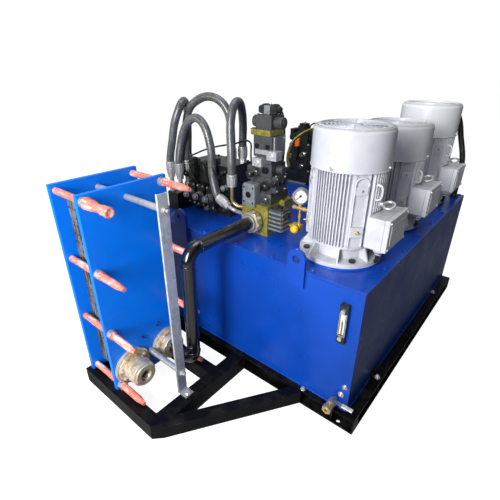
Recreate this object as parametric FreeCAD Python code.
# Hydraulic power unit: a welded oil tank on a channel skid, three vertical
# flange motors driving submerged gear pumps, valve manifolds with hoses on the
# tank lid, and a plate heat exchanger on an outrigger in front of the skid.
#
# Millimetres.  The front-right-bottom corner of the tank is (0, 0, 0): the tank
# runs to -X (left) and +Y (back), +Z is up.  Export moves every piece so that
# the origin is the middle of the footprint on the floor.
import FreeCAD, Part
import os
import math
from FreeCAD import Vector

os.makedirs("parts", exist_ok=True)

# ---------------------------------------------------------- shared dimensions
TANK_L = 1280.0                      # along X
TANK_W = 1480.0                      # along Y
TANK_H = 600.0                       # top of the lid above the skid
WALL = 6.0
LID_T = 8.0
GASKET_T = 2.0
SHELL_TOP = TANK_H - LID_T - GASKET_T
SKID_H = 80.0
TO_EXPORT = Vector(631.0, -468.5, SKID_H)

MOTOR_X = -236.5
MOTORS = (                           # axis y, cowl rim z, cowl top z
    (252.0, 983.0, 1136.0),
    (738.0, 943.0, 1098.0),
    (1224.0, 985.0, 1150.0),
)
FLANGE_R = 175.0                     # motor flange, bolts on a 300 pitch circle
BOLT_OFFSET = 150.0 * math.cos(math.pi / 4)
RING_TOP = TANK_H + 8.0              # mounting rings on the lid
FLANGE_TOP = RING_TOP + 18.0

FOOT_BOLT = (-597.0, -372.0)         # holds the cooler column to the outrigger
CLEAN_OUT = (-640.0, 300.0)          # x, z on the rear wall
DRAIN_X, DRAIN_Z = -58.0, 38.0       # on the front wall
LEVEL_X, LEVEL_Z = -65.0, (382.0, 509.0)     # level gauge bolts, front wall

RIGHT = Vector(1, 0, 0)
BACK = Vector(0, 1, 0)
UP = Vector(0, 0, 1)
DOWN = Vector(0, 0, -1)


# -------------------------------------------------------------------- helpers
def box(x0, y0, z0, x1, y1, z1):
    return Part.makeBox(x1 - x0, y1 - y0, z1 - z0, Vector(x0, y0, z0))


def cyl_x(x0, x1, y, z, r):
    return Part.makeCylinder(r, x1 - x0, Vector(x0, y, z), RIGHT)


def cyl_y(x, y0, y1, z, r):
    return Part.makeCylinder(r, y1 - y0, Vector(x, y0, z), BACK)


def cyl_z(x, y, z0, z1, r):
    return Part.makeCylinder(r, z1 - z0, Vector(x, y, z0), UP)


def fuse(first, *others):
    return first.fuse(list(others)).removeSplitter()


def cut_each(body, tools):
    for tool in tools:
        body = body.cut(tool)
    return body


def ring_x(x0, x1, y, z, outer_r, inner_r):
    return cyl_x(x0, x1, y, z, outer_r).cut(cyl_x(x0 - 1, x1 + 1, y, z, inner_r))


def turned_x(x, y, z, sections):
    """Round part along +X from x; sections are (length, start radius, end radius)."""
    pieces = []
    for length, r0, r1 in sections:
        if r0 == r1:
            pieces.append(cyl_x(x, x + length, y, z, r0))
        else:
            pieces.append(Part.makeCone(r0, r1, length, Vector(x, y, z), RIGHT))
        x += length
    return fuse(*pieces)


def prism(corners, extrusion):
    return Part.Face(Part.makePolygon(corners + corners[:1])).extrude(extrusion)


def prism_z(outline, z0, height):
    return prism([Vector(x, y, z0) for x, y in outline], Vector(0, 0, height))


def prism_y(outline, y0, depth):
    return prism([Vector(x, y0, z) for x, z in outline], Vector(0, depth, 0))


def hexagon(x, y, z, direction, across_flats, height):
    """Hexagonal prism from its base centre along a direction."""
    r = across_flats / 2 / math.cos(math.pi / 6)
    angles = [math.radians(60 * k + 30) for k in range(6)]
    corners = [Vector(r * math.cos(a), r * math.sin(a), 0) for a in angles]
    solid = prism(corners, Vector(0, 0, height))
    turn = FreeCAD.Rotation(Vector(0, 0, 1), direction)
    solid.Placement = FreeCAD.Placement(Vector(x, y, z), turn)
    return solid


def nut_x(x, y, z, across_flats, height, bore_r):
    nut = hexagon(x, y, z, RIGHT, across_flats, height)
    return nut.cut(cyl_x(x - 1, x + height + 1, y, z, bore_r))


def swept_bar(points, r, **tangents):
    """Round bar along a smooth curve through the points."""
    curve = Part.BSplineCurve()
    curve.interpolate([Vector(*p) for p in points], **tangents)
    edge = curve.toShape()
    start_tangent = edge.tangentAt(edge.FirstParameter)
    section = Part.Wire([Part.makeCircle(r, Vector(*points[0]), start_tangent)])
    return Part.Wire([edge]).makePipeShell([section], True, True)


def bent_pipe(points, r, bend_r):
    """Round bar along straight runs joined by circular bends."""
    corners = [Vector(*p) for p in points]
    pieces = []
    start = corners[0]
    for before, corner, after in zip(corners, corners[1:], corners[2:]):
        run_in = (corner - before).normalize()
        run_out = (after - corner).normalize()
        angle = run_in.getAngle(run_out)
        setback = bend_r * math.tan(angle / 2)
        bend_start = corner - run_in * setback
        pieces.append(Part.makeCylinder(r, (bend_start - start).Length, start, run_in))
        axis = run_in.cross(run_out).normalize()
        centre = bend_start + axis.cross(run_in).normalize() * bend_r
        disc = Part.Face(Part.Wire([Part.makeCircle(r, bend_start, run_in)]))
        pieces.append(disc.revolve(centre, axis, math.degrees(angle)))
        start = corner + run_out * setback
    last = corners[-1] - start
    length = last.Length
    pieces.append(Part.makeCylinder(r, length, start, last.normalize()))
    return fuse(*pieces)


def export(name, *shapes):
    """Write one STEP file holding all solids of the shapes."""
    solids = []
    for shape in shapes:
        moved = shape.copy()
        moved.translate(TO_EXPORT)
        solids += moved.Solids
    piece = solids[0] if len(solids) == 1 else Part.makeCompound(solids)
    piece.exportStep("parts/" + name + ".step")


# ----------------------------------------------------------------------- skid
SKID_X0, SKID_X1 = -TANK_L - 30.0, 48.0
SKID_Y0, SKID_Y1 = -28.0, TANK_W + 20.0
WEB_T = 6.0
CHANNEL_FLANGE_T = 8.0
END_T = 6.0
FRONT_WEB, REAR_WEB = 27.0, TANK_W - 35.0
LEFT_WEB, RIGHT_WEB = -TANK_L + 30.0, -12.0
STIFF_T = 8.0
STIFF_Z0, STIFF_Z1 = -SKID_H + 4, -4
OUT_X0, OUT_X1, OUT_Y0 = -1100.0, -555.0, -585.0      # outrigger
OUT_RIGHT_X0 = -622.0                # inner side of its right beam
CORNER_CUT = 36.0                    # leg of the cut front-right corner
BRACE_START = Vector(-566.0, -545.0, 0)
BRACE_END = Vector(-236.0, SKID_Y0 + 2.0, 0)
BRACE_W, BRACE_H = 50.0, 62.0


def channel_spans(web, tip):
    """Outer and hollow spans across a channel, from its web to its flange tips."""
    side = 1 if tip > web else -1
    return sorted((web, tip)), sorted((web + side * WEB_T, tip + side))


def channel_x(x0, x1, web_y, tip_y):
    (y0, y1), (hollow_y0, hollow_y1) = channel_spans(web_y, tip_y)
    hollow = box(x0 - 1, hollow_y0, -SKID_H + CHANNEL_FLANGE_T,
                 x1 + 1, hollow_y1, -CHANNEL_FLANGE_T)
    return box(x0, y0, -SKID_H, x1, y1, 0).cut(hollow)


def channel_y(y0, y1, web_x, tip_x):
    (x0, x1), (hollow_x0, hollow_x1) = channel_spans(web_x, tip_x)
    hollow = box(hollow_x0, y0 - 1, -SKID_H + CHANNEL_FLANGE_T,
                 hollow_x1, y1 + 1, -CHANNEL_FLANGE_T)
    return box(x0, y0, -SKID_H, x1, y1, 0).cut(hollow)


def closed_tube(x0, x1, y0, y1, t=5.0):
    """Rectangular hollow beam of skid height, closed at both ends."""
    hollow = box(x0 + t, y0 + t, -SKID_H + t, x1 - t, y1 - t, -t)
    return box(x0, y0, -SKID_H, x1, y1, 0).cut(hollow)


def diagonal_brace():
    along = (BRACE_END - BRACE_START).normalize()
    half = Vector(-along.y, along.x, 0) * (BRACE_W / 2)
    far = BRACE_END + Vector(10, 0, 0)
    corners = (BRACE_START + half, BRACE_START - half, far - half, far + half)
    brace = prism_z([(p.x, p.y) for p in corners], -BRACE_H, BRACE_H)
    return brace.common(box(-700, -600, -70, 100, SKID_Y0, 1))


def skid_frame():
    side_y0, side_y1 = FRONT_WEB - WEB_T, REAR_WEB + WEB_T
    parts = [channel_x(SKID_X0, SKID_X1, FRONT_WEB, SKID_Y0),
             channel_x(SKID_X0, SKID_X1, REAR_WEB, SKID_Y1),
             channel_y(side_y0, side_y1, RIGHT_WEB, SKID_X1),
             channel_y(side_y0, side_y1, LEFT_WEB, SKID_X0)]
    # plates closing the ends of the front and rear channels
    for x in (SKID_X1 - END_T, SKID_X0):
        for y0, y1 in ((SKID_Y0, FRONT_WEB), (REAR_WEB, SKID_Y1)):
            parts.append(box(x, y0, -SKID_H, x + END_T, y1, 0))
    # cross members under the tank
    for y in (370.0, 720.0, 1070.0):
        parts.append(channel_x(LEFT_WEB - 1, RIGHT_WEB + 1, y, y + 50.0))
    # stiffeners inside the channels
    for x0, x1 in ((SKID_X0 + 3, LEFT_WEB), (RIGHT_WEB, SKID_X1 - 3)):
        for y in (250.0, 600.0, 950.0, 1300.0):
            parts.append(box(x0, y, STIFF_Z0, x1, y + STIFF_T, STIFF_Z1))
    parts.append(box(-60.0, SKID_Y0 + 3, STIFF_Z0, -60.0 + STIFF_T, FRONT_WEB, STIFF_Z1))
    # outrigger: right, left, front and middle beams
    parts += [closed_tube(OUT_RIGHT_X0, OUT_X1, OUT_Y0, SKID_Y0),
              closed_tube(OUT_X0, -1043.0, OUT_Y0, SKID_Y0),
              closed_tube(OUT_X0, OUT_X1, OUT_Y0, -528.0),
              closed_tube(OUT_X0, OUT_RIGHT_X0 + 3, -222.0, -165.0),
              diagonal_brace()]
    skid = fuse(*parts)
    # cut the front-right corner of the outrigger and close it with a plate
    reach = CORNER_CUT + 1
    corner = prism_z([(OUT_X1 + 1, OUT_Y0 - 1), (OUT_X1 + 1, OUT_Y0 + reach),
                      (OUT_X1 - reach, OUT_Y0 - 1)], -SKID_H - 1, SKID_H + 2)
    inner = CORNER_CUT + 6
    closing = prism_z([(OUT_X1, OUT_Y0 + CORNER_CUT), (OUT_X1 - CORNER_CUT, OUT_Y0),
                       (OUT_X1 - inner, OUT_Y0), (OUT_X1, OUT_Y0 + inner)], -SKID_H, SKID_H)
    skid = skid.cut(corner).fuse(closing)
    # anchor holes in the bottom flanges
    for x in (SKID_X0 + 75.0, SKID_X1 - 75.0):
        for y in (SKID_Y0 + 22.0, SKID_Y1 - 22.0):
            skid = skid.cut(cyl_z(x, y, -SKID_H - 1, -SKID_H + CHANNEL_FLANGE_T + 1, 9.0))
    return skid.cut(cyl_z(*FOOT_BOLT, -6.0, 1.0, 6.0))


export("skid_frame", skid_frame())

# ----------------------------------------------------------------------- tank
RIM_W = 45.0                         # width of rim flange and gasket
LUG_R = 41.5
LUG_T = 15.0
LUG_INSET = 293.5
BREATHER = (-480.0, 1385.0)
BOLT_EDGE = 20.0                     # lid bolts from the tank edge
LID_BOLT_XS = [-25.0 - 205.0 * k for k in range(7)]
LID_BOLT_YS = [BOLT_EDGE + (TANK_W - 2 * BOLT_EDGE) / 7 * k for k in range(1, 7)]
LID_BOLTS = ([(x, BOLT_EDGE) for x in LID_BOLT_XS]
             + [(x, TANK_W - BOLT_EDGE) for x in LID_BOLT_XS]
             + [(-BOLT_EDGE, y) for y in LID_BOLT_YS]
             + [(-TANK_L + BOLT_EDGE, y) for y in LID_BOLT_YS])
# shared by rim flange, gasket and lid
LID_BOLT_HOLES = Part.makeCompound(
    [cyl_z(x, y, SHELL_TOP - 10, TANK_H + 1, 4.1) for x, y in LID_BOLTS])


def flange_bolts(motor_y):
    return [(MOTOR_X + sx * BOLT_OFFSET, motor_y + sy * BOLT_OFFSET)
            for sx in (-1, 1) for sy in (-1, 1)]


def tank_inset(inset, z0, z1):
    """Block of the tank's plan shape, drawn in by an inset."""
    return box(-TANK_L + inset, inset, z0, -inset, TANK_W - inset, z1)


def tank_shell():
    shell = tank_inset(0, 0, SHELL_TOP).cut(tank_inset(WALL, WALL, SHELL_TOP + 1))
    rim = tank_inset(3, SHELL_TOP - 8, SHELL_TOP)
    rim = rim.cut(tank_inset(RIM_W, SHELL_TOP - 9, SHELL_TOP + 1))
    baffle = box(-722.0, WALL - 1, WALL - 1, -716.0, TANK_W - WALL + 1, 470.0)
    baffle = cut_each(baffle, [box(-724, y, 40, -714, y + 120, 190)
                               for y in (160.0, 700.0, 1240.0)])
    shell = fuse(shell, rim, baffle)
    shell = shell.cut(cyl_y(CLEAN_OUT[0], TANK_W - 10, TANK_W + 1, CLEAN_OUT[1], 150.0))
    shell = shell.cut(cyl_y(DRAIN_X, -1, WALL + 1, DRAIN_Z, 12.0))
    shell = cut_each(shell, [cyl_y(LEVEL_X, -1, WALL + 1, z, 6.2) for z in LEVEL_Z])
    return shell.cut(LID_BOLT_HOLES)


def lid_gasket():
    opening = tank_inset(RIM_W, SHELL_TOP - 1, SHELL_TOP + 5)
    sheet = tank_inset(0, SHELL_TOP, SHELL_TOP + GASKET_T)
    return sheet.cut(opening).cut(LID_BOLT_HOLES)


def lifting_lug(x, y0):
    y1 = y0 + LUG_T
    strap = box(x - LUG_R, y0, 527.0, x + LUG_R, y1, 650.0)
    eye = cyl_y(x, y0, y1, 650.0, LUG_R)
    return strap.fuse(eye).cut(cyl_y(x, y0 - 1, y1 + 1, 648.0, 17.5))


def tank_lid():
    under = TANK_H - LID_T - 1
    rings = [cyl_z(MOTOR_X, y, TANK_H, RING_TOP, FLANGE_R + 3) for y, _, _ in MOTORS]
    neck = cyl_z(*BREATHER, TANK_H, TANK_H + 28.0, 26.0)
    lid = fuse(tank_inset(0, TANK_H - LID_T, TANK_H), neck, *rings)
    for motor_y, _, _ in MOTORS:
        lid = lid.cut(cyl_z(MOTOR_X, motor_y, under, RING_TOP + 1, 125.1))
    for motor_y, _, _ in MOTORS:
        for x, y in flange_bolts(motor_y):
            lid = lid.cut(cyl_z(x, y, under, RING_TOP + 1, 9.0))
    return lid.cut(cyl_z(*BREATHER, under, TANK_H + 40.0, 20.0)).cut(LID_BOLT_HOLES)


def breather_cap():
    x, y = BREATHER
    cap = fuse(cyl_z(x, y, TANK_H + 28.0, TANK_H + 74.0, 38.0),
               cyl_z(x, y, TANK_H + 6.0, TANK_H + 28.0, 19.95))
    for k in range(12):              # grip flutes
        a = math.radians(30 * k)
        cap = cap.cut(cyl_z(x + 39 * math.cos(a), y + 39 * math.sin(a),
                            TANK_H + 36.0, TANK_H + 66.0, 3.0))
    return cap


def clean_out_cover():
    x, z = CLEAN_OUT
    face = TANK_W + 12.0
    return fuse(cyl_y(x, TANK_W, face, z, 190.0),
                cyl_y(x, TANK_W - WALL, TANK_W, z, 149.5),
                # handle: two posts and a grip
                box(x - 60, face, z - 6, x - 48, TANK_W + 36.0, z + 6),
                box(x + 48, face, z - 6, x + 60, TANK_W + 36.0, z + 6),
                box(x - 60, TANK_W + 30.0, z - 6, x + 60, TANK_W + 42.0, z + 6))


def level_gauge_body():
    body = box(LEVEL_X - 17, -24, 357, LEVEL_X + 17, 0, 534)
    body = body.cut(box(LEVEL_X - 10, -25, 398, LEVEL_X + 10, -8, 493))
    return cut_each(body, [cyl_y(LEVEL_X, -25, 1, z, 6.2) for z in LEVEL_Z])


export("lifting_lugs", *[lifting_lug(x, y) for y in (-LUG_T, TANK_W)
                         for x in (-LUG_INSET, -TANK_L + LUG_INSET)])
export("tank_shell", tank_shell())
export("lid_gasket", lid_gasket())
export("tank_lid", tank_lid())
export("breather_cap", breather_cap())
export("clean_out_cover", clean_out_cover())
export("level_gauge_body", level_gauge_body())
export("level_gauge_window", box(LEVEL_X - 10, -20, 398, LEVEL_X + 10, -8, 493))

# ---------------------------------------------------------- drain ball valve
BALL_Y = -43
BALL_R = 12.0
DRAIN_BORE_R = 8.0


def drain_valve_body():
    body = fuse(cyl_y(DRAIN_X, -62, -24, DRAIN_Z, 19.0),
                cyl_y(DRAIN_X, -24, WALL, DRAIN_Z, 11.9),
                hexagon(DRAIN_X, -80, DRAIN_Z, BACK, 38.0, 18.0),
                cyl_z(DRAIN_X, BALL_Y, DRAIN_Z + 10, DRAIN_Z + 27, 11.0))
    body = body.cut(cyl_y(DRAIN_X, -81, WALL + 1, DRAIN_Z, DRAIN_BORE_R))
    body = body.cut(cyl_z(DRAIN_X, BALL_Y, DRAIN_Z - 1, DRAIN_Z + 28, 5.05))
    return body.cut(Part.makeSphere(BALL_R + 0.05, Vector(DRAIN_X, BALL_Y, DRAIN_Z)))


def drain_lever():
    """Ball turned across the flow, stem, flat lever and nut."""
    bore = cyl_x(DRAIN_X - 20, DRAIN_X + 20, BALL_Y, DRAIN_Z, DRAIN_BORE_R)
    ball = Part.makeSphere(BALL_R, Vector(DRAIN_X, BALL_Y, DRAIN_Z)).cut(bore)
    stem = cyl_z(DRAIN_X, BALL_Y, DRAIN_Z + 11.0, DRAIN_Z + 36, 5.0).cut(bore)
    return fuse(ball, stem,
                box(DRAIN_X - 8, BALL_Y - 8, DRAIN_Z + 30, DRAIN_X + 95, BALL_Y + 8, DRAIN_Z + 34),
                hexagon(DRAIN_X, BALL_Y, DRAIN_Z + 34, UP, 13.0, 7.0))


export("drain_valve_body", drain_valve_body())
export("drain_lever", drain_lever())

# --------------------------------------------------------------------- motors
# In this section y is the motor axis; frame_top lies 10 above the cowl rim.
FRAME_Z0 = 690.0
FRAME_R = 136.0                      # root of the fins
FIN_R = 152.0
FIN_PITCH = 12.0
FIN_HALF_T = 2
BORE_R = 128.0
CORNER_PAD = (                       # along the diagonal, across it
    (133.0, -29.0), (149.5, -29.0), (149.5, -24.0), (145.0, -24.0),
    (145.0, 24.0), (149.5, 24.0), (149.5, 29.0), (133.0, 29.0),
)
COWL_R = 156.0
COWL_T = 2.5
SHOULDER_R = 18.0
BOX_Z0, BOX_Z1 = 700.0, 826.0        # terminal box
BOX_X0, BOX_X1 = MOTOR_X + 139.5, -30.0
STATOR_Z0 = 728.0
EYE_DY, EYE_Z = -15, 859.0           # lifting eye, from the motor axis


def disc(y, z0, z1, r):
    """Cylinder on a motor axis."""
    return cyl_z(MOTOR_X, y, z0, z1, r)


def tube(y, z0, z1, outer_r, inner_r):
    return disc(y, z0, z1, outer_r).cut(disc(y, z0 - 1, z1 + 1, inner_r))


def place_at_angle(shape, y, angle):
    """Turn a shape made about the origin, then move it to a motor axis."""
    shape.rotate(Vector(0, 0, 0), UP, angle)
    shape.translate(Vector(MOTOR_X, y, 0))
    return shape


def radial_block(y, angle, r0, r1, width, z0, z1):
    return place_at_angle(box(r0, -width / 2, z0, r1, width / 2, z1), y, angle)


def fin_outline():
    """Ribbed frame about its own axis: one quadrant turned four times."""
    quadrant = []
    for k in range(12):
        for side, r in ((-1, FRAME_R), (-1, FIN_R), (1, FIN_R), (1, FRAME_R)):
            x = FIN_PITCH * (k - 5.5) + side * FIN_HALF_T
            quadrant.append((x, -math.sqrt(r * r - x * x)))
    diagonal = math.cos(math.pi / 4)
    for out, across in CORNER_PAD:
        quadrant.append((diagonal * (out + across), diagonal * (across - out)))
    outline = []
    for turn in range(4):
        c, s = math.cos(math.pi / 2 * turn), math.sin(math.pi / 2 * turn)
        outline += [(c * x - s * y, s * x + c * y) for x, y in quadrant]
    return outline


FIN_OUTLINE = fin_outline()


def motor_housing(y, rim_z, frame_top):
    outline = [(MOTOR_X + dx, y + dy) for dx, dy in FIN_OUTLINE]
    housing = prism_z(outline, FRAME_Z0, frame_top - FRAME_Z0)
    # flat side for the terminal box
    housing = housing.cut(box(BOX_X0, y - 99, BOX_Z0 - 6, MOTOR_X + 200, y + 99, BOX_Z1 + 6))
    bosses = []
    for angle in (-135, -45, 45, 135):
        bosses.append(radial_block(y, angle, 140.0, 155.0, 44.0, rim_z - 77, rim_z - 45))
        bosses.append(radial_block(y, angle, 140.0, 155.0, 50.0, 736.0, 778.0))
    bosses.append(box(MOTOR_X + 125, y - 70, BOX_Z0 + 8, BOX_X0, y + 70, BOX_Z1 - 8))
    bosses.append(cyl_x(MOTOR_X + 130, MOTOR_X + 152, y + EYE_DY, EYE_Z, 13.0))
    housing = fuse(housing, *bosses)
    housing = housing.cut(disc(y, FRAME_Z0 - 1, frame_top + 1, BORE_R))
    return housing.cut(cyl_x(MOTOR_X + 126, MOTOR_X + 153, y + EYE_DY, EYE_Z, 6.0))


def round_top(shape, z, r):
    edges = [e for e in shape.Edges
             if abs(e.BoundBox.ZMin - z) < 1e-3 and abs(e.BoundBox.ZMax - z) < 1e-3]
    return shape.makeFillet(r, edges)


def fan_cowl(y, rim_z, top):
    """Sheet shell with a rounded shoulder and a slotted top."""
    outer = round_top(disc(y, rim_z, top, COWL_R), top, SHOULDER_R)
    inner = disc(y, rim_z - 1, top - COWL_T, COWL_R - COWL_T)
    cowl = outer.cut(round_top(inner, top - COWL_T, SHOULDER_R - COWL_T))
    slots = []
    for r in (34.0, 50.0, 66.0, 82.0, 98.0, 114.0):
        slot = tube(y, top - 4, top + 1, r + 4.0, r - 4.0)
        # spokes along X and Y stay
        slot = slot.cut(box(MOTOR_X - 130, y - 7, top - 5, MOTOR_X + 130, y + 7, top + 2))
        slot = slot.cut(box(MOTOR_X - 7, y - 130, top - 5, MOTOR_X + 7, y + 130, top + 2))
        slots.append(slot)
    return cowl.cut(Part.makeCompound(slots))


def flange_shield(y):
    """Lower end shield with mounting flange, bearing seat and ribs."""
    shield = fuse(disc(y, RING_TOP, FLANGE_TOP, FLANGE_R),
                  disc(y, RING_TOP - 5, RING_TOP, 125.0),
                  disc(y, FLANGE_TOP, FRAME_Z0, 118.0),
                  disc(y, FRAME_Z0 - 14, FRAME_Z0, 141.0))
    shield = shield.cut(disc(y, FLANGE_TOP + 4, FRAME_Z0 + 1, 110.0))
    shield = fuse(shield, disc(y, FLANGE_TOP, FLANGE_TOP + 26, 60.0))
    shield = shield.cut(disc(y, FLANGE_TOP, FLANGE_TOP + 27, 45.0))
    shield = shield.cut(disc(y, RING_TOP - 6, FLANGE_TOP + 1, 24.0))
    rib = [(114, FLANGE_TOP - 2), (166, FLANGE_TOP - 2), (166, FLANGE_TOP + 5),
           (138, FRAME_Z0 - 6), (114, FRAME_Z0 - 6)]           # radius, z
    ribs = [place_at_angle(prism_y(rib, -3.5, 7), y, 22.5 + 45 * k) for k in range(8)]
    shield = fuse(shield, *ribs)
    return cut_each(shield, [cyl_z(bx, by, RING_TOP - 1, FLANGE_TOP + 1, 9.0)
                             for bx, by in flange_bolts(y)])


def fan_side_shield(y, frame_top):
    """Upper end shield inside the cowl, with four lugs reaching out to it."""
    shield = fuse(disc(y, frame_top, frame_top + 10, 135.0),
                  disc(y, frame_top - 26, frame_top, 52.0))
    shield = shield.cut(disc(y, frame_top - 27, frame_top - 4, 42.0))
    shield = shield.cut(disc(y, frame_top - 10, frame_top + 11, 22.0))
    lugs = [radial_block(y, angle, 125.0, 153.5, 16.0, frame_top, frame_top + 8)
            for angle in (0, 90, 180, 270)]
    shield = fuse(shield, *lugs)
    return shield.common(disc(y, frame_top - 30, frame_top + 20, COWL_R - COWL_T))


def terminal_box(y):
    """Body, lid and cable gland."""
    body = box(BOX_X0, y - 95, BOX_Z0, BOX_X1, y + 95, BOX_Z1)
    body = body.cut(box(BOX_X0 + 6, y - 89, BOX_Z0 + 6, BOX_X1 + 1, y + 89, BOX_Z1 - 6))
    lid = box(BOX_X1, y - 97, BOX_Z0 - 2, BOX_X1 + 20, y + 97, BOX_Z1 + 2)
    lid = lid.cut(box(BOX_X1 - 1, y - 89, BOX_Z0 + 6, BOX_X1 + 15, y + 89, BOX_Z1 - 6))
    lid = lid.makeFillet(4.0, [e for e in lid.Edges if e.BoundBox.XMin > BOX_X1 + 19.9])
    gland_x, gland_y = BOX_X0 + 42, y - 45
    gland = fuse(hexagon(gland_x, gland_y, BOX_Z0 - 26, UP, 34.0, 14.0),
                 cyl_z(gland_x, gland_y, BOX_Z0 - 12, BOX_Z0, 13.0),
                 cyl_z(gland_x, gland_y, BOX_Z0 - 38, BOX_Z0 - 26, 11.0))
    return [body, lid, gland]


def stator_core(y, stator_top):
    return fuse(tube(y, STATOR_Z0, stator_top, BORE_R, 85.5),
                tube(y, STATOR_Z0 - 22, STATOR_Z0, 120.0, 92.0),
                tube(y, stator_top, stator_top + 22, 120.0, 92.0))


def motor_rotor(y, frame_top, stator_top, cowl_top):
    return fuse(disc(y, 498.0, FLANGE_TOP, 21.0),
                disc(y, FLANGE_TOP, FLANGE_TOP + 24, 22.5),
                disc(y, FLANGE_TOP + 24, frame_top - 24, 24.0),
                disc(y, frame_top - 24, frame_top - 4, 20.0),
                disc(y, frame_top - 4, cowl_top - 46, 20.0),
                disc(y, STATOR_Z0 + 4, stator_top - 4, 84.5))


def cooling_fan(y, z0):
    blades = [radial_block(y, 45 * k, 30.0, 124.0, 3.0, z0 + 2, z0 + 44) for k in range(8)]
    fan = fuse(fuse(disc(y, z0, z0 + 40, 34.0), disc(y, z0, z0 + 4, 118.0)), *blades)
    return fan.cut(disc(y, z0 - 1, z0 + 60, 20.0))


def motor_fasteners(y):
    """Flange bolts with their nuts under the lid, then the lifting eye."""
    parts = []
    for bx, by in flange_bolts(y):
        parts.append(fuse(hexagon(bx, by, FLANGE_TOP, UP, 24.0, 10.0),
                          cyl_z(bx, by, 558.0, FLANGE_TOP, 8.0)))
        parts.append(hexagon(bx, by, 564.0, UP, 24.0, 13.0).cut(cyl_z(bx, by, 560, 580, 8.0)))
    eye_x, eye_y = MOTOR_X + 152, y + EYE_DY
    eye = Part.makeTorus(20.5, 5.5, Vector(eye_x + 31, eye_y, EYE_Z), Vector(0, -0.40, 0.9165))
    parts.append(fuse(eye, cyl_x(eye_x, eye_x + 9, eye_y, EYE_Z, 11.0),
                      cyl_x(MOTOR_X + 130, MOTOR_X + 155, eye_y, EYE_Z, 5.9)))
    return parts


# ---------------------------------------------------------- couplings and pumps
COUPLING_R = 44.0
JAW_Z0, JAW_Z1, JAW_Z2 = 488.0, 500.0, 512.0     # lower jaws, then upper jaws
UPPER_JAWS, LOWER_JAWS = (0, 120, 240), (60, 180, 300)
GEAR_N = 12
GEAR_MODULE = 4.0
GEAR_CENTRES = GEAR_N * GEAR_MODULE  # two equal gears
TOOTH = (                            # radius, signed half width
    (19.6, -4.0), (24.0, -2.8), (27.6, -1.25), (27.6, 1.25), (24.0, 2.8), (19.6, 4.0),
)
GEAR_Z0, GEAR_Z1 = 330.0, 365.0      # gear chamber
PUMP_HALF_W = 46
PORT_DY, PUMP_PORT_Z = 24, 347.5


def bell_housing(y):
    """Windowed housing hung under the lid."""
    bell = fuse(disc(y, 577.0, TANK_H - LID_T, FLANGE_R), disc(y, 418.0, 577.0, 112.0))
    bell = bell.cut(disc(y, 430.0, TANK_H, 102.0)).cut(disc(y, 417.0, 431.0, 30.0))
    bell = bell.cut(box(MOTOR_X - 120, y - 35, 460, MOTOR_X + 120, y + 35, 550))
    bell = bell.cut(box(MOTOR_X - 35, y - 120, 460, MOTOR_X + 35, y + 120, 550))
    return cut_each(bell, [cyl_z(bx, by, 576, 600, 9.0) for bx, by in flange_bolts(y)])


def coupling_hub(y, z0, z1, bore_r, jaw_z0, jaw_angles):
    hub = tube(y, z0, z1, COUPLING_R, bore_r)
    for angle in jaw_angles:
        hub = hub.fuse(radial_block(y, angle, 26.0, 42.0, 14.0, jaw_z0, jaw_z0 + 12.0))
    return hub


def coupling_spider(y):
    spider = tube(y, JAW_Z0, JAW_Z2, COUPLING_R, 18.0)
    for angles, z0, z1 in ((UPPER_JAWS, JAW_Z1, JAW_Z2), (LOWER_JAWS, JAW_Z0, JAW_Z1)):
        for angle in angles:
            spider = spider.cut(radial_block(y, angle, 24.0, 46.0, 14.2, z0 - 0.1, z1 + 0.1))
    return spider.cut(disc(y, 487, 513, 21.5))


def gear(y, phase, shaft_top):
    """Gear and shaft; phase is the angle of the first tooth in degrees."""
    outline = []
    for k in range(GEAR_N):
        for r, half_w in TOOTH:
            a = math.radians(phase + 360.0 / GEAR_N * k) + math.asin(half_w / r)
            outline.append((MOTOR_X + r * math.cos(a), y + r * math.sin(a)))
    return fuse(prism_z(outline, GEAR_Z0 + 0.05, 34.9), disc(y, 314.0, shaft_top, 10.0))


def pump_body(y):
    """Lower body with gear chamber, inlet (left) and outlet (right); upper cover."""
    left, right = MOTOR_X - PUMP_HALF_W, MOTOR_X + PUMP_HALF_W
    y0, y1 = y - 46, y + 94
    idler_y, port_y = y + GEAR_CENTRES, y + PORT_DY
    chamber = fuse(disc(y, GEAR_Z0, GEAR_Z1, 27.7), disc(idler_y, GEAR_Z0, GEAR_Z1, 27.7))
    lower = box(left, y0, 296.0, right, y1, GEAR_Z1).cut(chamber)
    lower = lower.cut(disc(y, 312.0, 331.0, 10.05)).cut(disc(idler_y, 312.0, 331.0, 10.05))
    lower = lower.cut(cyl_x(left - 1, MOTOR_X - 20, port_y, PUMP_PORT_Z, 11.0))
    lower = lower.cut(cyl_x(MOTOR_X + 20, right + 1, port_y, PUMP_PORT_Z, 8.0))
    lower = fuse(lower, ring_x(MOTOR_X - 70, left, port_y, PUMP_PORT_Z, 17.0, 11.0))
    upper = fuse(box(left, y0, GEAR_Z1, right, y1, 400.0),
                 disc(y, 400.0, 418.0, 44.0), disc(y, 418.0, 424.0, 29.9))
    upper = upper.cut(disc(y, 364.0, 425.0, 10.05)).cut(disc(idler_y, 364.0, 386.0, 10.05))
    return [lower, upper]


def suction_strainer(y):
    x, y = MOTOR_X - 100.0, y + PORT_DY
    pipe = bent_pipe([(x, y, 255.0), (x, y, PUMP_PORT_Z), (MOTOR_X - 70.0, y, PUMP_PORT_Z)],
                     15.0, 26.0)
    return fuse(cyl_z(x, y, 60.0, 240.0, 45.0), cyl_z(x, y, 240.0, 262.0, 26.0), pipe)


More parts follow.
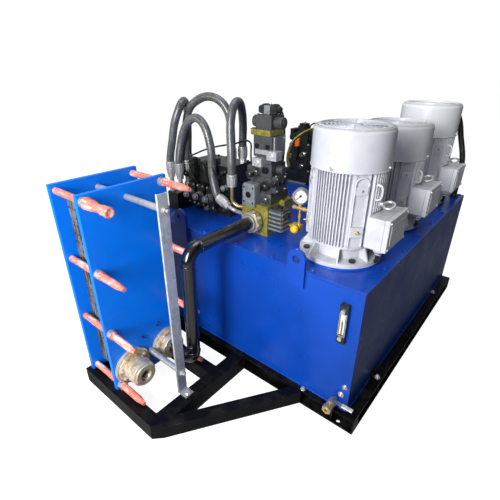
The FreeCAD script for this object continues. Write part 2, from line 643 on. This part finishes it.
shields, terminal_boxes, stators, bearings = [], [], [], []
bells, pumps, strainers, fasteners = [], [], [], []
for number, (axis_y, rim_z, cowl_top) in enumerate(MOTORS, 1):
    frame_top = rim_z + 10.0         # under the cowl
    stator_top = frame_top - 70.0
    export("motor_housing_%d" % number, motor_housing(axis_y, rim_z, frame_top))
    export("fan_cowl_%d" % number, fan_cowl(axis_y, rim_z, cowl_top))
    shields += [flange_shield(axis_y), fan_side_shield(axis_y, frame_top)]
    terminal_boxes += terminal_box(axis_y)
    stators.append(stator_core(axis_y, stator_top))
    bearings += [tube(axis_y, FLANGE_TOP, FLANGE_TOP + 24, 45.0, 22.55),
                 tube(axis_y, frame_top - 24, frame_top - 4, 42.0, 20.05)]
    export("motor_rotor_%d" % number,
           motor_rotor(axis_y, frame_top, stator_top, cowl_top),
           coupling_hub(axis_y, JAW_Z2, 560.0, 21.0, JAW_Z1, UPPER_JAWS))
    export("cooling_fan_%d" % number, cooling_fan(axis_y, frame_top + 28.0))
    fasteners += motor_fasteners(axis_y)
    bells.append(bell_housing(axis_y))
    pumps += pump_body(axis_y)
    export("pump_drive_gear_%d" % number, gear(axis_y, 0.0, 487.0),
           coupling_hub(axis_y, 440.0, JAW_Z0, 10.0, JAW_Z0, LOWER_JAWS),
           coupling_spider(axis_y))
    export("pump_idler_gear_%d" % number, gear(axis_y + GEAR_CENTRES, 15.0, 384.0))
    strainers.append(suction_strainer(axis_y))
export("motor_end_shields", *shields)
export("terminal_boxes", *terminal_boxes)
export("stator_cores", *stators)
export("motor_bearings", *bearings)
export("bell_housings", *bells)
export("pump_bodies", *pumps)
export("suction_strainers", *strainers)

# ----------------------------------------------------------------- fasteners
for x, y in LID_BOLTS:               # lid screws: head, washer, shank
    fasteners.append(fuse(hexagon(x, y, TANK_H + 1.6, UP, 13.0, 5.3),
                          cyl_z(x, y, TANK_H, TANK_H + 1.6, 8.0),
                          cyl_z(x, y, SHELL_TOP - 8, TANK_H, 4.0)))
for k in range(8):                   # clean-out nuts
    a = math.radians(22.5 + 45 * k)
    fasteners.append(hexagon(CLEAN_OUT[0] + 172 * math.cos(a), TANK_W + 12,
                             CLEAN_OUT[1] + 172 * math.sin(a), BACK, 19.0, 8.0))
for z in LEVEL_Z:
    fasteners.append(fuse(hexagon(LEVEL_X, -33, z, BACK, 17.0, 9.0),
                          cyl_y(LEVEL_X, -24, 14, z, 6.0)))
fasteners.append(fuse(hexagon(*FOOT_BOLT, 6.0, UP, 18.0, 7.5),
                      cyl_z(*FOOT_BOLT, -5.5, 6.0, 5.9)))
export("fasteners", *fasteners)

# ------------------------------------------------------- plate heat exchanger
COOLER_Y0, COOLER_Y1 = -563.0, -173.0
COOLER_H = 925.0
END_PLATE_T = 20.0
FRAME_X = -860.0                     # outer (right) face of the ported frame plate
PRESSURE_X = -1065.0                 # inner (right) face of the pressure plate
ROD_YS = (-540.0, -198.0)
ROD_ZS = (22.0, 312.0, 605.0, 899.0)
BAR_Y = -368.0
BAR_Z, GUIDE_Z = 875.0, 108.0        # carrying bar and lower guide bar
PORT_YS = (-470.0, -268.0)
PORT_Z = 90.0
PACK_X1 = FRAME_X - END_PLATE_T
PACK_Y0, PACK_Y1 = -508.0, -228.0
PACK_Z0, PACK_Z1 = 40.0, 855.0
PLATE_N = 30
EDGE_STEP = 6                        # depth of the grooves between plates
COLUMN_X = -627.0                    # right face of the column web
ROD_R = 10.0
PORT_COLLAR = ((12, 88.0, 88.0), (8, 76.0, 76.0), (36, 58.0, 58.0))
PORT_EXTENSION = ((6, 55.0, 55.0), (32, 58.0, 58.0), (6, 58.0, 48.0), (8, 48.0, 48.0))
PLAIN_SLEEVE = ((115, 15.0, 15.0), (32, 15.0, 9.0), (8, 9.0, 9.0))
WAISTED_SLEEVE = ((50, 20.5, 20.5), (16, 20.5, 16.0), (26, 16.0, 16.0),
                  (14, 16.0, 18.5), (36, 18.5, 18.5), (6, 18.5, 14.0))


def end_plate(x1):
    plate = box(x1 - END_PLATE_T, COOLER_Y0, 0, x1, COOLER_Y1, COOLER_H)
    holes = [(y, z, 10.5) for y in ROD_YS for z in ROD_ZS]
    holes += [(BAR_Y, BAR_Z, 12.6), (BAR_Y, GUIDE_Z, 12.6)]
    return cut_each(plate, [cyl_x(PRESSURE_X - 30, FRAME_X + 10, *hole) for hole in holes])


def frame_plate():
    return cut_each(end_plate(FRAME_X),
                    [cyl_x(FRAME_X - 30, FRAME_X + 10, y, PORT_Z, 29.0) for y in PORT_YS])


def plate_pack():
    """Plates as one block with grooved front and back edges."""
    pitch = (PACK_X1 - PRESSURE_X) / PLATE_N
    front, back = PACK_Y0 + EDGE_STEP, PACK_Y1 - EDGE_STEP     # groove floors
    outline = []
    for k in range(PLATE_N):
        x = PRESSURE_X + pitch * k
        edge_x0, edge_x1 = x + 0.2 * pitch, x + 0.55 * pitch
        outline += [(x, front), (edge_x0, front), (edge_x0, PACK_Y0),
                    (edge_x1, PACK_Y0), (edge_x1, front)]
    outline += [(PACK_X1, front), (PACK_X1, back)]
    for k in reversed(range(PLATE_N)):
        x = PRESSURE_X + pitch * k
        edge_x0, edge_x1 = x + 0.2 * pitch, x + 0.55 * pitch
        outline += [(edge_x1, back), (edge_x1, PACK_Y1), (edge_x0, PACK_Y1), (edge_x0, back)]
    outline.append((PRESSURE_X, back))
    pack = prism_z(outline, PACK_Z0, PACK_Z1 - PACK_Z0)
    # notch over the guide bar, then the port channels
    pack = pack.cut(box(PRESSURE_X - 1, BAR_Y - 18, PACK_Z0 - 1,
                        PACK_X1 + 1, BAR_Y + 18, GUIDE_Z + 18))
    return cut_each(pack, [cyl_x(PRESSURE_X + 15, PACK_X1 + 1, y, PORT_Z, 27.0)
                           for y in PORT_YS])


def bar_set(z):
    """Bar stepped down at the column, its end nuts and the shoulder ring."""
    step_x = COLUMN_X - 19
    bar = fuse(cyl_x(PRESSURE_X - 45, step_x, BAR_Y, z, 12.5),
               cyl_x(step_x, COLUMN_X + 12, BAR_Y, z, 8.0))
    return [bar,
            nut_x(COLUMN_X, BAR_Y, z, 24.0, 12.0, 8.0),
            nut_x(PRESSURE_X - END_PLATE_T - 16, BAR_Y, z, 30.0, 16.0, 12.5),
            ring_x(step_x + 0.5, COLUMN_X - 5, BAR_Y, z, 14.0, 8.0)]


def cooler_column():
    """U section open to the left, on a foot plate."""
    y0, y1 = BAR_Y - 27, BAR_Y + 19
    column = box(COLUMN_X - 10, y0, 0, COLUMN_X, y1, 937.0)
    column = column.cut(box(COLUMN_X - 11, BAR_Y - 22, -1, COLUMN_X - 5, BAR_Y + 14.5, 938.0))
    column = fuse(column, box(COLUMN_X - 3, y0, 0, COLUMN_X + 45, y1, 6.0))
    for z in (BAR_Z, GUIDE_Z):
        column = column.cut(cyl_x(COLUMN_X - 6, COLUMN_X + 1, BAR_Y, z, 8.1))
    return column.cut(cyl_z(*FOOT_BOLT, -1, 7, 6.0))


def tie_bolt(y, z):
    """Rod, then nut and washer at the left, washer and nut at the right."""
    left = PRESSURE_X - END_PLATE_T
    return [cyl_x(left - 32, FRAME_X + 140, y, z, ROD_R),
            nut_x(left - 20, y, z, 30.0, 16.0, ROD_R),
            ring_x(left - 4, left, y, z, 19.0, ROD_R),
            ring_x(FRAME_X, FRAME_X + 4, y, z, 20.0, ROD_R),
            nut_x(FRAME_X + 4, y, z, 30.0, 18.0, ROD_R)]


def tie_bolt_sleeves(y, z):
    """Sleeve between the end plates, and a closed one over the free thread."""
    inner = ring_x(PRESSURE_X + 2, PACK_X1 - 2, y, z, 14.0, ROD_R)
    # the top front sleeve is fatter and waisted
    top_front = y == ROD_YS[0] and z == ROD_ZS[-1]
    outer = turned_x(FRAME_X + 22, y, z, WAISTED_SLEEVE if top_front else PLAIN_SLEEVE)
    return [inner, outer.cut(cyl_x(FRAME_X + 20, FRAME_X + 140, y, z, ROD_R))]


def cooler_port(y, rod_y, sections):
    port = turned_x(FRAME_X, y, PORT_Z, sections)
    port = port.cut(cyl_x(FRAME_X - 1, FRAME_X + 120, y, PORT_Z, 27.0))
    # clear the guide bar and the neighbouring tie bolt
    port = port.cut(cyl_x(FRAME_X - 1, FRAME_X + 120, BAR_Y, GUIDE_Z, 13.0))
    return port.cut(cyl_x(FRAME_X - 1, FRAME_X + 200, rod_y, ROD_ZS[0], 21.0))


cooler_bars = bar_set(BAR_Z) + bar_set(GUIDE_Z)
sleeves = []
for y in ROD_YS:
    for z in ROD_ZS:
        cooler_bars += tie_bolt(y, z)
        sleeves += tie_bolt_sleeves(y, z)
export("cooler_frame_plate", frame_plate())
export("cooler_pressure_plate", end_plate(PRESSURE_X))
export("plate_pack", plate_pack())
export("cooler_column", cooler_column())
export("cooler_bars_and_tie_bolts", *cooler_bars)
export("tie_bolt_sleeves", *sleeves)
export("cooler_ports",
       cooler_port(PORT_YS[0], ROD_YS[0], PORT_COLLAR + PORT_EXTENSION),
       cooler_port(PORT_YS[1], ROD_YS[1], PORT_COLLAR))

# ---------------------------- return pipe, main manifold to the rear cooler port
PIPE_R = 30.15
PIPE_WALL = 3.6
PIPE_BEND_R = 62.0
MANIFOLD_Y0 = 166.0                  # front face of the main manifold
UNION_X, UNION_Z = -646.0, 668.0     # union on that face


def return_pipe():
    port_x, port_y = FRAME_X + 56, PORT_YS[1]
    corners = [(-656.0, port_y, PORT_Z), (UNION_X, port_y, UNION_Z)]
    pipe = bent_pipe([(port_x, port_y, PORT_Z)] + corners
                     + [(UNION_X, MANIFOLD_Y0 - 52, UNION_Z)], PIPE_R, PIPE_BEND_R)
    bore = bent_pipe([(port_x - 1, port_y, PORT_Z)] + corners
                     + [(UNION_X, MANIFOLD_Y0 - 51, UNION_Z)], PIPE_R - PIPE_WALL, PIPE_BEND_R)
    return pipe.cut(bore)


export("return_pipe", return_pipe())

# -------------------------------------------------- main manifold and its valves
MANIFOLD_X0, MANIFOLD_X1 = -729.0, -573.0
MANIFOLD_Y1, MANIFOLD_TOP = 340.0, 748.0
PILOT_X = -647.0                     # centre between the solenoid coils
BUTTON_Y, BUTTON_Z = 266.0, 1163.0
COIL_OUTLINE = (                     # distance outward from PILOT_X, z
    (14.5, 1147.0), (22.5, 1142.0), (39.0, 1143.3), (47.5, 1148.3), (50.0, 1155.4),
    (46.5, 1163.4), (35.0, 1178.1), (27.0, 1181.9), (19.5, 1180.2), (14.5, 1171.4),
)
RELIEF_X, RELIEF_Z = -669.0, 891.0


def manifold_block():
    block = box(MANIFOLD_X0, MANIFOLD_Y0, TANK_H, MANIFOLD_X1, MANIFOLD_Y1, MANIFOLD_TOP)
    block = block.cut(cyl_y(UNION_X, MANIFOLD_Y0 - 1, MANIFOLD_Y0 + 60, UNION_Z, 26.0))
    return fuse(block, box(MANIFOLD_X1, 258.0, 720.0, -545.0, MANIFOLD_Y1, 762.0))


def ribbed_valve():
    """Block on the right face, grooved across its front."""
    valve = box(MANIFOLD_X1, 176.0, 638.0, -500.0, 250.0, 740.0)
    return cut_each(valve, [box(-569.0, 175.0, z, -499.0, 183.0, z + 9.0)
                            for z in (650.0, 670.0, 690.0, 710.0)])


def rounded_cap():
    """Cap at the front left, its top rounded along Y, notched over the manifold."""
    cap = box(-712.0, 150.0, 737.0, -640.0, 194.0, 845.0)
    edges = [e for e in cap.Edges
             if e.BoundBox.ZMin > 844.0 and e.BoundBox.YMax - e.BoundBox.YMin > 20]
    notch = box(-730.0, MANIFOLD_Y0, 730.0, -640.0, 200.0, MANIFOLD_TOP)
    return cap.makeFillet(18.0, edges).cut(notch)


def valve_bodies():
    return [
        # stack on the main block
        box(-705.0, 194.0, MANIFOLD_TOP, -578.0, 336.0, 800.0),
        fuse(box(-698.0, 204.0, 800.0, -584.0, 330.0, 872.0),
             cyl_y(-610.0, 184.0, 204.0, 836.0, 22.0)),
        fuse(box(-690.0, 212.0, 872.0, -592.0, 322.0, 930.0),
             cyl_x(-592.0, -560.0, 266.0, 902.0, 19.0)),
        box(-694.0, 208.0, 962.0, -592.0, 312.0, 1056.0),
        box(-680.0, 222.0, 930.0, -602.0, 312.0, 962.0),
        # main stage: square body with round end caps
        fuse(box(-684.0, 212.0, 1082.0, -600.0, 296.0, 1140.0),
             cyl_x(-722.0, -684.0, 254.0, 1109.0, 25.0),
             cyl_x(-600.0, -562.0, 254.0, 1109.0, 25.0)),
        # pilot stage
        box(PILOT_X - 14.5, 240.0, 1140.0, PILOT_X + 14.5, 292.0, 1177.0),
        ribbed_valve(),
        rounded_cap(),
        # blocks on the right and left sides of the stack
        box(-584.0, 206.0, 806.0, -560.0, 282.0, 882.0),
        box(-736.0, 214.0, 846.0, -698.5, 300.0, 912.0),
    ]


def side_cylinder(side, near, far, r):
    """Cylinder on the button axis, left (-1) or right (1) of the pilot stage."""
    x0, x1 = sorted((PILOT_X + side * near, PILOT_X + side * far))
    return cyl_x(x0, x1, BUTTON_Y, BUTTON_Z, r)


def solenoid_coil(side):
    coil = prism_y([(PILOT_X + side * out, z) for out, z in COIL_OUTLINE], 244.0, 44.0)
    coil = fuse(coil, side_cylinder(side, 34.0, 60.0, 9.0))
    return coil.cut(side_cylinder(side, 48.0, 61.0, 4.05))


def cartridge_valves():
    relief = fuse(hexagon(RELIEF_X, 186.0, RELIEF_Z, BACK, 30.0, 26.0),
                  cyl_y(RELIEF_X, 168.0, 186.0, RELIEF_Z, 11.0))
    relief = relief.cut(cyl_y(RELIEF_X, 167.0, 178.0, RELIEF_Z, 5.05))
    return [relief, fuse(hexagon(-600.0, 172.0, 776.0, BACK, 30.0, 22.0),
                         cyl_y(-600.0, 158.0, 172.0, 776.0, 10.0))]


def relief_knob():
    knob = fuse(cyl_y(RELIEF_X, 146.0, 167.9, RELIEF_Z, 16.0),
                cyl_y(RELIEF_X, 167.9, 177.5, RELIEF_Z, 5.0))
    for k in range(10):              # grip flutes
        a = math.radians(36 * k)
        knob = knob.cut(cyl_y(RELIEF_X + 17.2 * math.cos(a), 145.0, 164.0,
                              RELIEF_Z + 17.2 * math.sin(a), 3.0))
    return knob


export("manifold_blocks", manifold_block(), box(-705.0, 200.0, 1056.0, -596.0, 306.0, 1082.0))
export("valve_bodies", *valve_bodies())
export("solenoid_coils", solenoid_coil(-1), solenoid_coil(1))
export("override_button_left", side_cylinder(-1, 53.0, 64.0, 4.0))
export("override_button_right", side_cylinder(1, 53.0, 64.0, 4.0))
export("cartridge_valves", *cartridge_valves())
export("relief_knob", relief_knob())

# -------------------------------------- pressure gauge with its isolating valve
GAUGE_X, GAUGE_Y, GAUGE_Z = -457.0, 250.0, 807.0
STEM_Y = GAUGE_Y + 8
GAUGE_R = 35.0
CROSS_Z = GAUGE_Z - 60               # cross fitting below the dial
GAUGE_KNOB_Z = 655.0


def turn_on_stem(shape):
    """The dial is turned 22 degrees about its stem."""
    shape.rotate(Vector(GAUGE_X, STEM_Y, GAUGE_Z), UP, 22.0)
    return shape


def gauge_case():
    case = cyl_y(GAUGE_X, GAUGE_Y - 8, GAUGE_Y + 24, GAUGE_Z, GAUGE_R)
    case = case.cut(cyl_y(GAUGE_X, GAUGE_Y - 9, GAUGE_Y + 2, GAUGE_Z, 31.5))
    return turn_on_stem(case.cut(cyl_y(GAUGE_X, GAUGE_Y - 9, GAUGE_Y + 14, GAUGE_Z, 2.05)))


def gauge_needle():
    needle = fuse(cyl_y(GAUGE_X, GAUGE_Y - 4, GAUGE_Y + 13, GAUGE_Z, 2.0),
                  cyl_y(GAUGE_X, GAUGE_Y - 4, GAUGE_Y - 2.5, GAUGE_Z, 5.0),
                  box(GAUGE_X - 1.2, GAUGE_Y - 4, GAUGE_Z - 8,
                      GAUGE_X + 1.2, GAUGE_Y - 2.5, GAUGE_Z + 25))
    needle.rotate(Vector(GAUGE_X, GAUGE_Y, GAUGE_Z), BACK, -135)
    return turn_on_stem(needle)


def gauge_fittings():
    x = GAUGE_X
    fittings = fuse(cyl_z(x, STEM_Y, CROSS_Z, GAUGE_Z - 34.5, 7.0),
                    hexagon(x, STEM_Y, GAUGE_Z - 50, UP, 17.0, 12.0),
                    cyl_x(x - 32, x + 30, STEM_Y, CROSS_Z, 7.5),
                    hexagon(x - 36, STEM_Y, CROSS_Z, RIGHT, 17.0, 14.0),
                    hexagon(x + 20, STEM_Y, CROSS_Z, RIGHT, 17.0, 12.0),
                    cyl_z(x, STEM_Y, 668.0, CROSS_Z, 5.0),
                    box(x - 32, GAUGE_Y - 8, 642.0, x + 16, GAUGE_Y + 20, 668.0))
    # clear the gauge case, join to the ribbed valve, bore for the knob stem
    case_room = turn_on_stem(cyl_y(x, GAUGE_Y - 30, GAUGE_Y + 30, GAUGE_Z, GAUGE_R))
    fittings = fittings.cut(case_room)
    fittings = fuse(fittings, cyl_x(-500.0, x - 32, GAUGE_Y - 4, 656.0, 7.0))
    return fittings.cut(cyl_y(x, GAUGE_Y - 9, GAUGE_Y + 2, GAUGE_KNOB_Z, 5.05))


def gauge_valve_knob():
    """Stem with a ball knob cut flat at the back."""
    ball = Part.makeSphere(19.5, Vector(GAUGE_X, GAUGE_Y - 30, GAUGE_KNOB_Z))
    ball = ball.common(box(GAUGE_X - 60, GAUGE_Y - 60, 600, GAUGE_X + 60, GAUGE_Y - 12, 700))
    return fuse(cyl_y(GAUGE_X, GAUGE_Y - 18, GAUGE_Y + 1.5, GAUGE_KNOB_Z, 5.0), ball)


export("pressure_gauge", gauge_case())
export("gauge_needle", gauge_needle())
export("gauge_fittings", gauge_fittings())
export("gauge_valve_knob", gauge_valve_knob())

# ------------------------------------------- left manifold and the other valves
ADAPTER_Z = 700.0                    # top of the step block under the hoses


def left_manifold():
    """Block with a lower step at its left, and two blind ports in its back face."""
    block = fuse(box(-1170.0, 240.0, TANK_H, -880.0, 420.0, 870.0),
                 box(-1251.5, 132.0, TANK_H, -1170.0, 310.0, ADAPTER_Z))
    return cut_each(block, [cyl_y(-1122.0, 396.0, 421.0, z, 12.0) for z in (790.0, 700.0)])


def left_and_back_valves():
    # on the front face of the left manifold
    valves = [fuse(box(x, 196.0, 640.0, x + 54, 240.0, 760.0),
                   cyl_y(x + 27, 160.0, 196.0, 700.0, 20.0))
              for x in (-1150.0, -1078.0, -1006.0)]
    valves += [box(x, 200.0, 780.0, x + 44, 240.0, 850.0) for x in (-1140.0, -1030.0)]
    # group further back on the lid
    return valves + [
        box(-1075.0, 1020.0, TANK_H, -875.0, 1170.0, 690.0),
        box(-1050.0, 1035.0, 690.0, -900.0, 1155.0, 860.0),
        fuse(box(-1035.0, 1045.0, 860.0, -915.0, 1145.0, 930.0),
             cyl_x(-1075.0, -1035.0, 1095.0, 895.0, 24.0),
             cyl_x(-915.0, -875.0, 1095.0, 895.0, 24.0)),
        box(-1005.0, 1062.0, 930.0, -945.0, 1128.0, 975.0),
        box(-1005.0, 1000.0, 760.0, -965.0, 1035.0, 850.0),
    ]


export("rear_manifold", left_manifold())
export("rear_valves", *left_and_back_valves())

# --------------------------------------------------------- hoses and fittings
HOSE_R = 20.5
FERRULE_L = 62.0
HEX_L = 22.0
# centre lines: x, y, z
HOSE_1 = [(-1240, 160, 860), (-1231, 160, 908), (-1208, 161, 980), (-1193, 166, 1045),
          (-1177, 178, 1104), (-1172, 202, 1148), (-1195, 248, 1166), (-1224, 290, 1130),
          (-1237, 302, 1060), (-1240, 298, 960), (-1232, 284, 880)]
HOSE_2 = [(-1200, 238, 860), (-1195, 246, 1000), (-1183, 252, 1090), (-1159, 258, 1138),
          (-1118, 264, 1169), (-1043, 275, 1193), (-973, 288, 1175), (-930, 297, 1126),
          (-915, 300, 1042), (-912, 300, 950)]
HOSE_3 = [(-1199, 186, 850), (-1192, 200, 950), (-1162, 208, 1032), (-1115, 206, 1078),
          (-1047, 198, 1097), (-993, 192, 1066), (-962, 190, 1003), (-949, 190, 931),
          (-947, 188, 846), (-926, 182, 771), (-893, 176, 724)]
HOSE_4 = [(-810, 185, 855), (-815, 190, 950), (-827, 200, 1039), (-838, 220, 1122),
          (-846, 255, 1172), (-860, 300, 1176), (-876, 340, 1131), (-892, 366, 1038),
          (-902, 374, 950)]
THIN_LINE = [(-588, 346, 900), (-606, 360, 925), (-620, 385, 958), (-625, 430, 1004),
             (-615, 480, 1030), (-591, 540, 1050), (-560, 600, 1040), (-548, 640, 990),
             (-545, 660, 900)]
HOSE_3_END = Vector(62, -2, -29).normalize()     # direction it leaves in


def hose(points, end_direction=DOWN):
    return swept_bar(points, HOSE_R, InitialTangent=UP, FinalTangent=end_direction)


def ferrule(end, direction=DOWN, length=FERRULE_L, hex_length=HEX_L, stub=0):
    """Crimped ferrule, hexagon and optional stub, leading away from a hose end."""
    end = Vector(*end)
    hex_start = end + direction * length
    parts = [Part.makeCylinder(HOSE_R + 3.0, length, end, direction),
             hexagon(hex_start.x, hex_start.y, hex_start.z, direction, 36.0, hex_length)]
    if stub:
        stub_start = hex_start + direction * hex_length
        parts.append(Part.makeCylinder(12.0, stub, stub_start, direction))
    return fuse(*parts)


def step_block_end(end):
    """Hose end whose stub reaches down to the step block."""
    return ferrule(end, stub=end[2] - FERRULE_L - HEX_L - ADAPTER_Z)


def hose_4_connection():
    """Ferrule and bent tube into the left face of the main manifold."""
    tube_4 = bent_pipe([(-810, 185, 800), (-810, 185, 700), (-740.0, 205.0, 700.0)], 9.0, 40.0)
    return fuse(ferrule(HOSE_4[0], length=56.0, hex_length=1.0), tube_4,
                cyl_x(-744.0, MANIFOLD_X0, 205.0, 700.0, 13.0))


def hose_3_connection():
    """Ferrule and bent tube into the left face of the main manifold, lower down."""
    start = Vector(*HOSE_3[-1]) + HOSE_3_END * 70
    tube_3 = bent_pipe([start, (-792.0, 176.0, start.z - 12.6), (-738.0, 228.0, 648.0)],
                       10.0, 18.0)
    return fuse(ferrule(HOSE_3[-1], HOSE_3_END, hex_length=16.0), tube_3,
                cyl_x(-744.0, MANIFOLD_X0, 228.0, 648.0, 14.0))


def pipe_union():
    y = MANIFOLD_Y0
    union = fuse(hexagon(UNION_X, y - 44, UNION_Z, BACK, 94.0, 32.0),
                 hexagon(UNION_X, y - 12, UNION_Z, BACK, 80.0, 12.0),
                 cyl_y(UNION_X, y - 6, y + 4, UNION_Z, 25.9),
                 cyl_y(UNION_X, y - 52, y - 44, UNION_Z, 38.0))
    return union.cut(cyl_y(UNION_X, y - 60, y + 5, UNION_Z, 20.0))


export("hoses", hose(HOSE_1), hose(HOSE_2), hose(HOSE_3, HOSE_3_END), hose(HOSE_4))
export("hose_fittings",
       step_block_end(HOSE_1[0]), step_block_end(HOSE_1[-1]), step_block_end(HOSE_2[0]),
       ferrule(HOSE_2[-1], length=50.0, hex_length=30.0),
       step_block_end(HOSE_3[0]),
       ferrule(HOSE_4[-1], length=54.0, hex_length=26.0),
       hose_4_connection(), hose_3_connection(), pipe_union(),
       # thin steel line, ending in a straight drop to the lid
       fuse(swept_bar(THIN_LINE, 6.0), cyl_z(-545, 660, TANK_H, 900, 6.0)))
